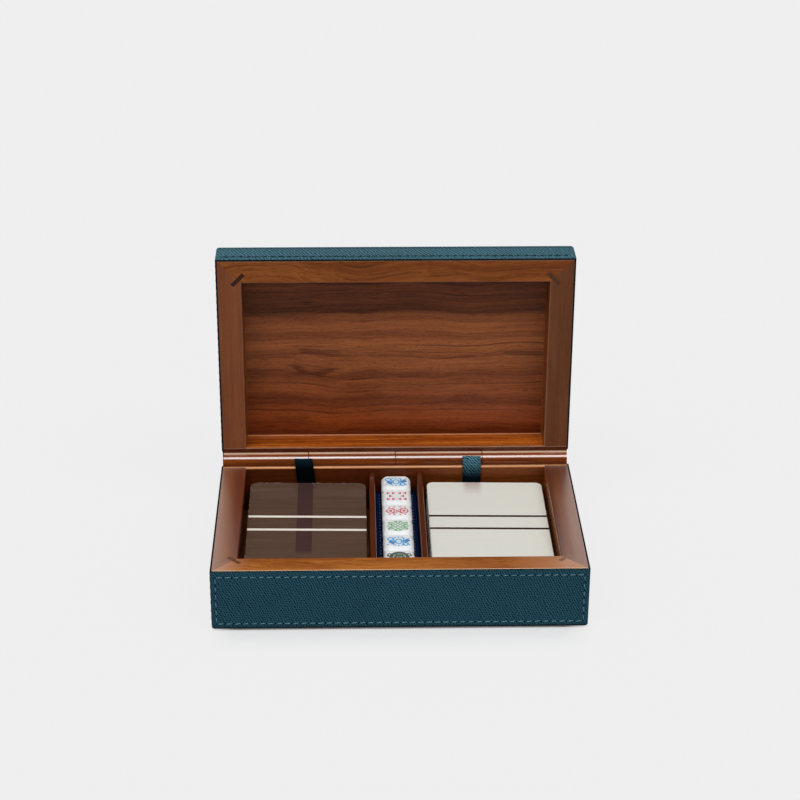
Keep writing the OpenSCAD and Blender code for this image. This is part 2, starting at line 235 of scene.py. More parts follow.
def walnut(
    name, along, light, dark, streak, lacquer,
    wander=3.0, bands=0.5, fleck=0.4, figure=1.0, sway=0.0, reach=40.0, turn=0.0, shift=0.0,
    tints=(),
):
    fibre_reach, pore_reach, across_scale = 40.0, 130.0, 1000.0
    made, at = new_finish(name)
    if sway:
        drift = noise(at, 22.0, 1.0, out=1)
        drift = at.node("VectorMath", {0: drift, 1: (0.5, 0.5, 0.5)}, operation="SUBTRACT")
        swayed = {0: drift, 1: (sway, sway, sway), 2: at}
        at = at.node("VectorMath", swayed, operation="MULTIPLY_ADD")
    place = {"Vector": at, "Rotation": (turn, 0, 0), "Location": (shift, shift * 0.7, shift * 1.3)}
    grain = at.node("Mapping", place)
    figured, fibre, dash = (
        at.node(
            "VectorMath",
            {0: grain, 1: [length if axis == along else across_scale for axis in range(3)]},
            operation="MULTIPLY",
        )
        for length in (reach, fibre_reach, pore_reach)
    )
    broad = noise(figured, 0.09, 3.0, 0.5, 0.4)
    mid = noise(figured, 0.38, 3.0, 0.55, 0.2)
    fine = noise(fibre, 1.4, 4.0, 0.65)
    pore = noise(dash, 2.6, 2.0)
    across = [part_of(fibre, axis) for axis in range(3) if axis != along]
    ring = (across[0] + across[1] * 0.8 + broad * wander * 10) * 0.7
    ring = at.node("Math", {0: ring}, operation="SINE") * 0.5 + 0.5
    tone = limited(broad * 2.2 + mid * 1.2 + fine * 1.4, figure, 0.5 - 2.4 * figure)
    body = mixed(tone, dark, light)
    body = mixed(ring**9 * limited(mid, 7.0, -3.1) * bands, body, streak)
    open_pore = limited(pore, -9.0, 3.9)
    body = mixed(open_pore * fleck, body, streak)
    for way, start, end, stain, how in tints:
        body = mixed(between(reach_along(at, way), start, end), body, stain, how)
    coat, coat_ior, coat_rough, level = lacquer
    surface(
        at,
        {
            "Base Color": body,
            "Roughness": 0.3 + fine * 0.14,
            "IOR": 1.45,
            "Specular IOR Level": level,
            "Coat Weight": coat - open_pore * 0.25,
            "Coat Roughness": coat_rough,
            "Coat IOR": coat_ior,
        },
        height=fine * 0.4 - open_pore * 0.6,
        strength=0.12,
        depth=0.0001,
    )
    return made


def joint(name):
    return next(j for j in frame["joints"] if j["name"] == name)


def from_cad(node):
    bm = bmesh.new()
    bm.from_mesh(frame["nodes"][node].data)
    bmesh.ops.remove_doubles(bm, verts=bm.verts, dist=2e-6)
    bmesh.ops.dissolve_limit(bm, angle_limit=math.radians(0.4), verts=bm.verts, edges=bm.edges)
    return bm


def ease(bm, width, steps=3, rub=None, **places):
    def on_line(vert):
        return all(abs(getattr(vert.co, axis) - place) < 3e-5 for axis, place in places.items())

    edges = [e for e in bm.edges if all(map(on_line, e.verts))]
    made = bmesh.ops.bevel(
        bm, geom=edges, offset=width, offset_type="OFFSET",
        segments=steps, profile=0.5, affect="EDGES", material=-1,
    )
    # rub: slot of a paler finish for the eased faces, wear and a painted highlight along the arris.
    if rub is not None:
        for face in made["faces"]:
            face.material_index = rub


def piece(bm, name, body, finishes, nodes=(), crease=40):
    mesh = bpy.data.meshes.new(name)
    bm.normal_update()
    bm.to_mesh(mesh)
    bm.free()
    for finish in finishes:
        mesh.materials.append(finish)
    mesh.shade_smooth()
    mesh.set_sharp_from_angle(angle=math.radians(crease))
    made = link(name, mesh)
    made.modifiers.new("even_shading", "WEIGHTED_NORMAL").keep_sharp = True
    if body:
        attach(made, body)
    if nodes:
        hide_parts(*nodes)
    return made


def refinish(finish, node):
    for place in frame["nodes"][node].material_slots:
        place.material = finish


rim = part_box("base_front_rail")[1].z
inner_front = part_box("base_front_rail")[1].y
outer_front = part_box("base_front_rail")[0].y
inner_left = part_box("base_left_rail")[1].x
inner_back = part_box("base_left_rail")[1].y
axis = Vector(joint("lid_hinge")["pos_m"])
knuckle_r, arris_w, ledge_arris_w = 0.0049, 0.0006, 0.001

# Each lacquer: weight, index and roughness of its coat, and the gloss of the wood beneath.
satin, polished, bright = (1.0, 1.45, 0.16, 0.05), (1.0, 2.1, 0.27, 0.4), (1.0, 1.75, 0.07, 0.05)
thin, waxed, flat = (0.5, 1.4, 0.35, 0.05), (1.0, 1.5, 0.2, 0.2), (0.8, 1.4, 0.2, 0.1)
front_walnut = walnut(
    "base_front_walnut", 0, "#b36e31", "#8d4d1d", "#6a3614", satin,
    bands=0.6, fleck=0.45, figure=1.9, sway=0.012,
    # The rail's two ends are painted paler, a painted sheen; right of the middle it is a little
    # darker and bluer.
    tints=[
        ((1, 0, 0), 0.0, 0.04, (0.84, 0.82, 1.0, 1), "MULTIPLY"),
        ((1, 0, 0), 0.055, 0.095, "#b5825f", "MIX"),
        ((1, 0, 0), -0.075, -0.095, "#b5825f", "MIX"),
    ],
)
# Left rail painted paler to its outer front and darker to its inner edge: a painted reflection of
# the room.
left_painted_sheen = [
    ((1, 0, 0), inner_left - 0.0095, inner_left - 0.003, (0.6, 0.32, 0.18, 1), "MULTIPLY"),
    ((1, 0.085, 0), inner_left - 0.0044, inner_left - 0.0101, "#87512f", "MIX"),
]
# Right rail painted darker to its back and inner edge, so its front reads paler: a painted
# reflection.
right_painted_shade = [
    ((0, 1, 0), 0.012, 0.045, (0.55, 0.44, 0.4, 1), "MULTIPLY"),
    ((1, 0, 0), -inner_left + 0.004, -inner_left + 0.001, (0.65, 0.5, 0.4, 1), "MULTIPLY"),
]
left_walnut, right_walnut = (
    walnut(
        name, 1, "#7f4722", "#653516", "#43210e", polished,
        wander=6, bands=0.2, fleck=0.2, figure=1.3, shift=0.31, tints=tints,
    )
    for name, tints in (("base_left_walnut", left_painted_sheen), ("base_right_walnut", right_painted_shade))
)
# Shaded and lit copies of one walnut for the rails' inner faces: painted shade left, painted light
# right.
left_inner_shaded_walnut, right_inner_lit_walnut = (
    walnut(name, 1, light, dark, streak, satin, shift=0.31)
    for name, light, dark, streak in (
        ("base_inner_left_walnut", "#5e2408", "#471905", "#2f1003"),
        ("base_inner_right_walnut", "#c8743a", "#a05826", "#6a3414"),
    )
)
back_walnut = walnut(
    "base_back_walnut", 0, "#5d280a", "#3d1605", "#240c02", thin, bands=0.5, shift=0.57,
    # Painted paler and bluer right of the middle: a painted reflection of the ivory deck.
    tints=[((1, 0, 0), 0.0, 0.03, (1.9, 2.3, 2.4, 1), "MULTIPLY")],
)
knuckle_walnut = walnut(
    "knuckle_walnut", 0, "#984a10", "#6c2f08", "#401a05", bright, bands=0.8, fleck=0.5, shift=0.35,
    # A pale band is painted along the top of each knuckle: a painted highlight.
    tints=[((0, 0, 1), axis.z + knuckle_r * 0.945, axis.z + knuckle_r * 0.97, "#cdaa90", "MIX")],
)
# Paler walnut for eased arrises: wear and a painted highlight; the palest is a painted highlight
# alone.
rubbed_walnut = walnut(
    "rubbed_walnut", 0, "#bd7d45", "#a86a36", "#8a5129", waxed, bands=0.2, fleck=0.2
)
worn_walnut = walnut("worn_walnut", 0, "#d8b594", "#c49a76", "#a87c58", waxed, bands=0.2, fleck=0.2)
dark_walnut = walnut("dark_walnut", 1, "#5c2810", "#431b09", "#2a1005", flat, shift=0.72)


def mark_faces(bm, finishes, inner, ledge=None, facing=1):
    for face in bm.faces:
        middle = face.calc_center_median()
        # Rim faces by the hinge take the dark walnut: painted shade in the gap beside the knuckles.
        if ledge is not None and face.normal.z * facing > 0.9 and abs(middle.z - ledge) < 1e-4:
            face.material_index = finishes.index(dark_walnut)
        if abs(face.normal.x) > 0.9 and abs(abs(middle.x) + inner_left) < 1e-4:
            face.material_index = finishes.index(inner)
        away = [math.hypot(v.co.y - axis.y, v.co.z - axis.z) for v in face.verts]
        if all(abs(distance - knuckle_r) < 5e-5 for distance in away):
            face.material_index = finishes.index(knuckle_walnut)


for node, finish, inner, arris in (
    ("base_front_rail", front_walnut, right_inner_lit_walnut, {"y": inner_front, "z": rim}),
    ("base_left_rail", left_walnut, left_inner_shaded_walnut, {"x": inner_left, "z": rim}),
    ("base_right_rail", right_walnut, right_inner_lit_walnut, {"x": -inner_left, "z": rim}),
    ("base_back_rail", back_walnut, right_inner_lit_walnut, {"y": inner_back, "z": rim}),
):
    finishes = [finish, rubbed_walnut, dark_walnut, knuckle_walnut, inner, worn_walnut]
    bm = from_cad(node)
    if node == "base_back_rail":
        mark_faces(bm, finishes, inner, ledge=rim)
        ease(bm, ledge_arris_w, rub=finishes.index(rubbed_walnut), **arris)
    else:
        mark_faces(bm, finishes, inner)
        ease(bm, arris_w, **arris)
    if node == "base_front_rail":
        # The front top arris takes the palest finish: a painted highlight.
        ease(bm, arris_w, rub=finishes.index(worn_walnut), y=outer_front, z=rim)
    piece(bm, node + ".planed", "base", finishes, [node])

floor_walnut = walnut(
    "floor_walnut", 0, "#a15a2a", "#7f421a", "#52270e", satin, bands=0.4, shift=0.13
)
refinish(floor_walnut, "base_floor")
for node, light, dark in (
    ("base_left_spline", "#704631", "#5b3725"),
    ("base_right_spline", "#8a5f47", "#734b37"),
):
    refinish(walnut(node + "_walnut", 2, light, dark, "#43281d", satin, bands=0.3, shift=0.8), node)

# Dividers: two thin boards of darker walnut, let into grooves in the front and back rails.
# Their upper edges are rounded over by hand.

divider_round = 0.0011
for node in ("left_divider", "right_divider"):
    low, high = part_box(node)
    bm = from_cad(node)
    for edge_x in (low.x, high.x):
        ease(bm, divider_round, 4, x=edge_x, z=high.z)
    piece(bm, node + ".rounded", "base", [dark_walnut], [node])

# Dice cradle: a block covered in navy leather, with a shallow channel for the dice.
# A row of small stitches runs along the inner edge of each of its two strips.


def grained_leather(
    name, low, high, pitch, gloss=0.5, depth=0.00014, level=0.15, painted_shade_below=None, turn=0.0
):
    made, at = new_finish(name)
    at = at.node("Mapping", {"Vector": at, "Rotation": (turn, 0, 0)})
    stray, bend = (noise(at, scale / pitch, 1.0) for scale in (0.42, 0.3))
    ridges = []
    for lie, wobble in (((0.88, 0.88, 0.46), stray), ((0.1, 0.8, 0.9), bend)):
        run = (reach_along(at, [c / pitch for c in lie]) + wobble * 1.6) * math.tau
        ridges.append(at.node("Math", {0: run}, operation="SINE") * 0.5 + 0.5)
    height = 1 - (1 - ridges[0]) * (1 - ridges[1] * 0.6)
    wear = noise(at, 35.0, 4.0, 0.6)
    tone = limited(height * 1.15 + wear * 0.35, 1.0, -0.23)
    colour = mixed(tone, low, high)
    # Below start the colour is deep, blending back by end: a painted shade low down.
    if painted_shade_below:
        start, end, deep = painted_shade_below
        colour = mixed(between(part_of(at, 2), start, end), deep, colour)
    surface(
        at,
        {
            "Base Color": colour,
            "Roughness": gloss + 0.12 - tone * 0.16,
            "IOR": 1.4,
            "Specular IOR Level": level,
        },
        height=height,
        strength=0.55,
        depth=depth,
    )
    return made


def sewing_thread(name, light, dark):
    made, at = new_finish(name)
    twist = at.node(
        "TexWave", {"Vector": at, "Scale": 700.0, "Distortion": 1.0},
        wave_type="BANDS", bands_direction="DIAGONAL",
    )
    colour = mixed(twist, dark, light)
    surface(
        at,
        {"Base Color": colour, "Roughness": 0.6 + twist * 0.15, "Specular IOR Level": 0.2},
        height=twist,
        strength=0.4,
        depth=0.00008,
    )
    return made


# Needle holes are dark discs: painted shade where the thread goes into the leather.
def needle_hole(name, colour):
    made, at = new_finish(name)
    colour = mixed(noise(at, 1500.0, 2.0), colour, "#010305")
    surface(at, {"Base Color": colour, "Roughness": 0.85, "Specular IOR Level": 0.05})
    return made


def sew(
    name, body, finishes, rows, out, pitch,
    length=0.72, thick=0.0003, hole=0.0004, slant=7, place=None,
):
    chance = random.Random(len(name))
    stray, shortest, longest = 4, 0.88, 1.08
    thread_flat, hole_flat, thread_proud, hole_proud = 0.75, 0.3, 0.25, 0.05
    one_thread, one_hole = bpy.data.meshes.new("thread"), bpy.data.meshes.new("hole")
    for mesh, sizes, rings in (
        (one_thread, (pitch * length / 2, thick, thick * thread_flat), 6),
        (one_hole, (hole, hole, thick * hole_flat), 4),
    ):
        shape = bmesh.new()
        bmesh.ops.create_uvsphere(shape, u_segments=6, v_segments=rings, radius=1)
        bmesh.ops.rotate(shape, verts=shape.verts, matrix=Matrix.Rotation(math.pi / 2, 3, "Y"))
        bmesh.ops.scale(shape, verts=shape.verts, vec=sizes)
        for face in shape.faces:
            face.material_index = int(mesh is one_hole)
        shape.to_mesh(mesh)
        shape.free()
    bm = bmesh.new()

    def lay(mesh, spot, ahead, turn, stretch=1.0):
        before = len(bm.verts)
        bm.from_mesh(mesh)
        bm.verts.ensure_lookup_table()
        side = out.cross(ahead).normalized()
        lie = Matrix((ahead, side, out)).transposed() @ Matrix.Rotation(math.radians(turn), 3, "Z")
        lie = Matrix.Translation(spot) @ (lie @ Matrix.Diagonal((stretch, 1, 1))).to_4x4()
        bmesh.ops.transform(bm, verts=bm.verts[before:], matrix=lie)

    for row in rows:
        row = [Vector(p) for p in row]
        run = [0.0]
        for a, b in zip(row, row[1:]):
            run.append(run[-1] + (b - a).length)

        def along(distance):
            last = len(run) - 1
            n = next(i for i in range(1, last + 1) if distance <= run[i] + 1e-9 or i == last)
            return row[n - 1].lerp(row[n], (distance - run[n - 1]) / (run[n] - run[n - 1]))

        count = max(1, round(run[-1] / pitch))
        step = run[-1] / count
        for i in range(count):
            a, b = along(i * step), along((i + 1) * step)
            ahead = (b - a).normalized()
            turn = slant + chance.uniform(-stray, stray)
            stretch = chance.uniform(shortest, longest)
            lay(one_thread, (a + b) / 2 + out * thick * thread_proud, ahead, turn, stretch)
            lay(one_hole, a + out * thick * hole_proud, ahead, 0)
    if place:
        bm.transform(place)
    bpy.data.meshes.remove(one_thread)
    bpy.data.meshes.remove(one_hole)
    piece(bm, name, body, finishes, crease=80)


navy = grained_leather(
    "navy_leather", "#020815", "#122a5c", 0.0009, gloss=0.55, depth=0.0001, level=0.1
)
pale_thread = sewing_thread("pale_blue_thread", "#a9bdd6", "#6f87a8")
navy_hole = needle_hole("navy_hole", "#02040a")

strip, strip_round, seam_in, seam_end, seam_pitch = 0.0032, 0.0007, 0.0009, 0.002, 0.0034
low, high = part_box("dice_cradle")
bm = from_cad("dice_cradle")
for edge_x in (low.x, low.x + strip, high.x - strip, high.x):
    ease(bm, strip_round, 3, x=edge_x, z=high.z)
piece(bm, "dice_cradle.covered", "base", [navy], ["dice_cradle"])
rows = [
    [(x, low.y + seam_end, high.z), (x, high.y - seam_end, high.z)]
    for x in (low.x + strip - seam_in, high.x - strip + seam_in)
]
sew(
    "cradle_stitches", "base", [pale_thread, navy_hole], rows, Vector((0, 0, 1)), seam_pitch,
    length=0.42, thick=0.0002, hole=0.0002, slant=14,
)

# Base leather: four panels of embossed teal leather, glued round the rails and turned under.
# Their cut edges are painted dark, and a row of saddle stitches runs inside each outline.


def painted_edge(name, colour):
    made, at = new_finish(name)
    streaky = noise(at, 400.0, 3.0)
    surface(
        at,
        {
            "Base Color": mixed(streaky, colour, "#04070a"),
            "Roughness": 0.55 + streaky * 0.3,
            "IOR": 1.4,
            "Specular IOR Level": 0.06,
        },
        height=streaky,
        strength=0.2,
        depth=0.00005,
    )
    return made


def paint_cut_edges(bm, out, above):
    for face in bm.faces:
        if abs(face.normal.dot(out)) < 0.85 and face.calc_center_median().z > above:
            face.material_index = 1


# The base leather is painted near black along its foot: painted shade where it turns under.
teal = grained_leather(
    "teal_leather", "#020d14", "#2c596b", 0.00118, painted_shade_below=(0.0014, 0.0024, "#00040a")
)
edge_paint = painted_edge("edge_paint", "#0a0e11")
teal_thread = sewing_thread("teal_thread", "#6d98a4", "#466e80")
teal_hole = needle_hole("teal_hole", "#03121a")

sew_top, sew_low, sew_side, sew_pitch = rim - 0.0033, 0.0046, 0.0026, 0.00425
corner_round, front_round, side_round = 0.0005, 0.0003, 0.0004
paint_depth, turned_under = 0.0004, 0.01
notch_r = 0.0059
seam_r, seam_steps = notch_r + 0.003, 10

for node, out in (
    ("base_front_leather", Vector((0, -1, 0))),
    ("base_left_leather", Vector((-1, 0, 0))),
    ("base_right_leather", Vector((1, 0, 0))),
    ("base_back_leather", Vector((0, 1, 0))),
):
    low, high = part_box(node)
    bm = from_cad(node)
    if out.y:
        face_y = low.y if out.y < 0 else high.y
        for edge_x in (low.x, high.x):
            ease(bm, corner_round, 3, x=edge_x, y=face_y)
        ease(bm, front_round, 2, y=face_y, z=high.z)
        paint_cut_edges(bm, out, high.z - paint_depth)
        left, right, top = low.x + sew_side, high.x - sew_side, high.z - (rim - sew_top)
        corners = (left, sew_low), (left, top), (right, top), (right, sew_low)
        loop = [(x, face_y, z) for x, z in corners]
        rows = [[loop[i], loop[(i + 1) % 4]] for i in range(4)]
    else:
        face_x = low.x if out.x < 0 else high.x
        for edge_y in (low.y, high.y):
            ease(bm, corner_round, 3, x=face_x, y=edge_y)
        ease(bm, side_round, 2, x=face_x, z=rim)
        paint_cut_edges(bm, out, turned_under)
        front, back = low.y + sew_side, high.y - sew_side
        start = math.asin((axis.z - sew_top) / seam_r)
        end = math.acos((back - axis.y) / seam_r)
        bend = [start + (math.pi - end - start) * i / seam_steps for i in range(seam_steps + 1)]
        bend = [(axis.y - seam_r * math.cos(t), axis.z - seam_r * math.sin(t)) for t in bend]
        notch = [(face_x, y, z) for y, z in bend]
        rows = [
            [(face_x, front, sew_low), (face_x, front, sew_top)],
            [(face_x, front, sew_top), *notch],
            [notch[-1], (face_x, back, sew_low)],
            [(face_x, back, sew_low), (face_x, front, sew_low)],
        ]
    piece(bm, node + ".grained", "base", [teal, edge_paint], [node])
    stitches = node.replace("leather", "stitches")
    sew(stitches, "base", [teal_thread, teal_hole], rows, out, sew_pitch)

# Suede cover: a soft dark sheet under the base, inside the turned leather.
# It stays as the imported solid, with a napped finish.

suede, at = new_finish("napped_suede")
nap = noise(at, 2600.0, 3.0, 0.7)
brushed = noise(at, 60.0, 3.0)
surface(
    at,
    {
        "Base Color": mixed(nap * 0.6 + brushed * 0.4, "#131c25", "#2b3c4a"),
        "Roughness": 0.85 + nap * 0.1,
        "Specular IOR Level": 0.15,
        "Sheen Weight": 0.4,
        "Sheen Roughness": 0.5,
    },
    height=nap,
    strength=0.5,
    depth=0.0002,
)
refinish(suede, "base_suede")

# Lift straps: one strip of thin leather behind each deck, glued under it and folded at the rim.
# The right one leans back on the knuckles; the left one stands up and has slipped sideways.
# Both are painted darker low down, a painted shade; the left is a shaded copy, the right a lit one.

right_strap_leather = grained_leather(
    "right_strap_leather", "#020e16", "#457685", 0.0016, gloss=0.45, depth=0.0004,
    painted_shade_below=(0.0292, 0.0392, "#000f18"),
)
left_strap_leather = grained_leather(
    "left_strap_leather", "#01080e", "#0d3040", 0.0013, level=0.1, painted_shade_below=(0.035, 0.043, "#010407")
)
strap_t, bend_r, fold_reach, blend_reach = 0.001, 0.0017, 0.0022, 0.0012
skew_from, skew_run = 0.02, 0.026

for side, skew, free, finish in (
    ("left", -0.0027, 0.0048, left_strap_leather),
    ("right", 0.0, 0.0058, right_strap_leather),
):
    low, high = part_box(side + "_strap")
    tab_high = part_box(side + "_strap_tab")[1]
    fold = Vector(joint(side + "_tab_fold")["pos_m"])
    lean = math.atan2(tab_high.z - fold.z, tab_high.y - fold.y)
    tip = Vector((0, math.cos(lean), math.sin(lean)))
    bend_y, mid_low = fold.y - bend_r, low.z + strap_t / 2
    route = [Vector((fold.x, low.y + (bend_y - low.y) * i / 8, mid_low)) for i in range(9)]
    for i in range(1, 7):
        t = math.pi / 2 * i / 6
        up = mid_low + bend_r - bend_r * math.cos(t)
        route.append(Vector((fold.x, bend_y + bend_r * math.sin(t), up)))
    root = Vector((fold.x, fold.y, fold.z - fold_reach))
    route += [route[-1].lerp(root, i / 7) for i in range(1, 8)]
    over = fold + tip * fold_reach
    for i in range(1, 9):
        t = i / 8
        route.append(root * (1 - t) ** 2 + fold * 2 * t * (1 - t) + over * t**2)
    end = fold + tip * free
    route += [over.lerp(end, i / 4) for i in range(1, 5)]
    for point in route:
        point.x += skew * max(0.0, (point.z - fold.z + skew_from) / skew_run)
    bm = bmesh.new()
    across = Vector(((high.x - low.x) / 2, 0, 0))
    edge = bm.edges.new([bm.verts.new(route[0] - across), bm.verts.new(route[0] + across)])
    for a, b in zip(route, route[1:]):
        grown = bmesh.ops.extrude_edge_only(bm, edges=[edge])["geom"]
        fresh = [v for v in grown if isinstance(v, bmesh.types.BMVert)]
        bmesh.ops.translate(bm, verts=fresh, vec=b - a)
        edge = bm.edges.get(fresh)
    wide = [e for e in bm.edges if abs((e.verts[0].co - e.verts[1].co).x) > across.x]
    bmesh.ops.subdivide_edges(bm, edges=wide, cuts=3)
    bmesh.ops.recalc_face_normals(bm, faces=bm.faces)
    strap = piece(bm, side + "_lift_strap", None, [finish, edge_paint])
    strap.modifiers.clear()
    body = strap.modifiers.new("thickness", "SOLIDIFY")
    body.thickness, body.offset, body.material_offset_rim = strap_t * 0.98, 0, 1
    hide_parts(side + "_strap", side + "_strap_tab")
    side + "_tab"
    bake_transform(strap)

# Hinge pin: one steel rod, painted dark, driven through the bores of the four wooden knuckles.
# It is hidden but for its two ends, and the lid turns on it.


def drawn_noise(at, stretch, roughness=0.5):
    return noise(at.node("Mapping", {"Vector": at, "Scale": stretch}), 1.0, 3.0, roughness)


# The steel is painted dark: painted shade in the seams between the knuckles, where the pin shows.
steel, at = new_finish("burnished_steel")
drawn = drawn_noise(at, (4.0, 900.0, 900.0))
colour = mixed(drawn, "#3c3835", "#5d5853")
surface(
    at,
    {"Base Color": colour, "Metallic": 1.0, "Roughness": 0.35 + drawn * 0.2},
    height=drawn,
    strength=0.1,
    depth=0.00003,
)
refinish(steel, "hinge_pin")

# Lid carcass: like the base, with a figured walnut panel held in the rails' rebates by a thin bead.
# It is worked as if it were shut, then turned back to where it stands open.

open_angle = math.radians(joint("lid_hinge")["range_deg"][0])
opened = Matrix.Translation(axis) @ Matrix.Rotation(open_angle, 4, "X") @ Matrix.Translation(-axis)
shut = opened.inverted()
lid_gap, lid_outer_arris_w, bead = 0.0002, 0.0004, 0.0005
lid_rim = rim + lid_gap

dull, oiled = (1.0, 1.3, 0.25, 0.05), (1.0, 1.28, 0.3, 0.05)
glossy, bare = (1.0, 1.5, 0.14, 0.05), (0.2, 1.3, 0.4, 0.05)
lid_front_walnut = walnut(
    "lid_front_walnut", 0, "#9d5929", "#7c4018", "#4c220c", dull,
    wander=5, bands=0.6, fleck=0.4, turn=-open_angle, shift=0.21, figure=1.5, sway=0.016,
)
lid_left_walnut, lid_right_walnut = (
    walnut(
        name, 1, light, dark, streak, dull,
        wander=6, bands=0.2, fleck=0.25, turn=-open_angle, shift=shift,
    )
    for name, light, dark, streak, shift in (
        ("lid_left_walnut", "#8e5334", "#744026", "#492718", 0.47),
        ("lid_right_walnut", "#804e31", "#673b22", "#412214", 0.85),
    )
)
lid_panel_walnut = walnut(
    "lid_panel_walnut", 0, "#a66139", "#6a3822", "#371b17", oiled,
    bands=0.7, fleck=0.4, turn=-open_angle, shift=0.09, sway=0.008, reach=14.0,
    # Darker and redder towards the foot; the two upper tints paint the shadow of the top rail,
    # darkest at its edge.
    tints=[
        ((0, 0, 1), 0.09, 0.05, (0.7, 0.43, 0.2, 1), "MULTIPLY"),
        ((0, 0, 1), 0.1152, 0.1178, (0.62, 0.62, 0.66, 1), "MULTIPLY"),
        ((0, 0, 1), 0.1178, 0.1335, (2.0, 2.0, 2.2, 1), "MULTIPLY"),
    ],
)
# Paler walnut for the lid's eased arrises: wear and a painted highlight.
lid_rubbed_walnut = walnut(
    "lid_rubbed_walnut", 0, "#8f6145", "#7d5138", "#643f2a", dull, bands=0.2, fleck=0.2
)
lid_back_walnut = walnut(
    "lid_back_walnut", 0, "#c2671f", "#873d0d", "#5a2709", glossy,
    bands=1.0, fleck=0.8, turn=-open_angle, shift=0.66, figure=2.0,
)
lid_inner_walnut = walnut(
    "lid_inner_walnut", 1, "#93501f", "#743a14", "#4b220c", dull, turn=-open_angle, shift=0.4
)
lid_bead_walnut = walnut(
    "lid_bead_walnut", 0, "#a9683f", "#8c5230", "#6b3a1f", bare, bands=0.2, fleck=0.2
)

for node, finish, arris in (
    ("lid_front_rail", lid_front_walnut, {"y": inner_front, "z": lid_rim}),
    ("lid_left_rail", lid_left_walnut, {"x": inner_left, "z": lid_rim}),
    ("lid_right_rail", lid_right_walnut, {"x": -inner_left, "z": lid_rim}),
    ("lid_back_rail", lid_back_walnut, {"y": inner_back, "z": lid_rim}),
):
    finishes = [finish, lid_inner_walnut, dark_walnut, knuckle_walnut, lid_rubbed_walnut]
    # rubbed: slot of the paler arris finish, wear and a painted highlight.
    rubbed = finishes.index(lid_rubbed_walnut)
    bm = from_cad(node)
    bm.transform(shut)
    bm.normal_update()
    ledge = lid_rim if node == "lid_back_rail" else None
    mark_faces(bm, finishes, lid_inner_walnut, ledge, facing=-1)
    ease(bm, arris_w, rub=rubbed, **arris)
    if node == "lid_front_rail":
        ease(bm, lid_outer_arris_w, 2, rub=rubbed, y=outer_front, z=lid_rim)
    bm.transform(opened)
    piece(bm, node + ".planed", "lid", finishes, [node])

refinish(lid_panel_walnut, "lid_panel")
for node, light, dark in (
    ("lid_left_spline", "#4b2b1e", "#392016"),
    ("lid_right_spline", "#66402c", "#4c2d1e"),
):
    refinish(walnut(node + "_walnut", 2, light, dark, "#24140f", dull, bands=0.3, shift=0.8), node)


def on_rail(vert):
    beside = abs(vert.co.x) > -inner_left - 1e-5
    return beside or not inner_front + 1e-5 <= vert.co.y <= inner_back - 1e-5


bm = bmesh.new()
bm.from_mesh(frame["nodes"]["lid_panel"].data)
bm.transform(shut)
panel_face = min(v.co.z for v in bm.verts)
bm.free()
bm = bmesh.new()
bmesh.ops.create_grid(bm, x_segments=1, y_segments=1, size=0.5)
bmesh.ops.scale(bm, verts=bm.verts, vec=(-2 * inner_left, inner_back - inner_front, 1))
bmesh.ops.translate(bm, verts=bm.verts, vec=(0, (inner_back + inner_front) / 2, panel_face))
border = bmesh.ops.inset_region(
    bm, faces=bm.faces[:], thickness=bead, use_boundary=True, use_even_offset=True
)["faces"]
bmesh.ops.delete(bm, geom=[f for f in bm.faces if f not in border], context="FACES")
grown = bmesh.ops.extrude_face_region(bm, geom=bm.faces[:])["geom"]
raised = [v for v in grown if isinstance(v, bmesh.types.BMVert) and on_rail(v)]
bmesh.ops.translate(bm, verts=raised, vec=(0, 0, -bead))
bmesh.ops.remove_doubles(bm, verts=bm.verts, dist=1e-5)
bmesh.ops.recalc_face_normals(bm, faces=bm.faces)
for face in bm.faces:
    face.material_index = int(abs(face.calc_center_median().x) > -inner_left - bead)
bm.transform(opened)
piece(bm, "lid_panel_bead", "lid", [lid_bead_walnut, lid_inner_walnut])

# Lid leather: four strips round the lid and a sheet over its top, turned down over the edges.
# Stitches, pulled tight into the leather, run along each strip's rim and round the top sheet.

# The lid strips use a lighter copy of the teal, a painted sheen; the top sheet a darker one,
# painted shade.
lid_sheened_teal, lid_sheet_shaded_teal = (
    grained_leather(name, low, high, 0.0017, level=0.1, turn=-open_angle)
    for name, low, high in (
        ("lid_teal_leather", "#031219", "#3a6a79"),
        ("lid_sheet_leather", "#031016", "#2c5664"),
    )
)
lid_edge_paint = painted_edge("lid_edge_paint", "#152931")
deep_thread = sewing_thread("deep_teal_thread", "#0d2630", "#06161d")
sheet_side, sheet_end = 0.0065, 0.0034
strip_up, strip_end, notch_end = 0.0042, 0.003, 0.0079

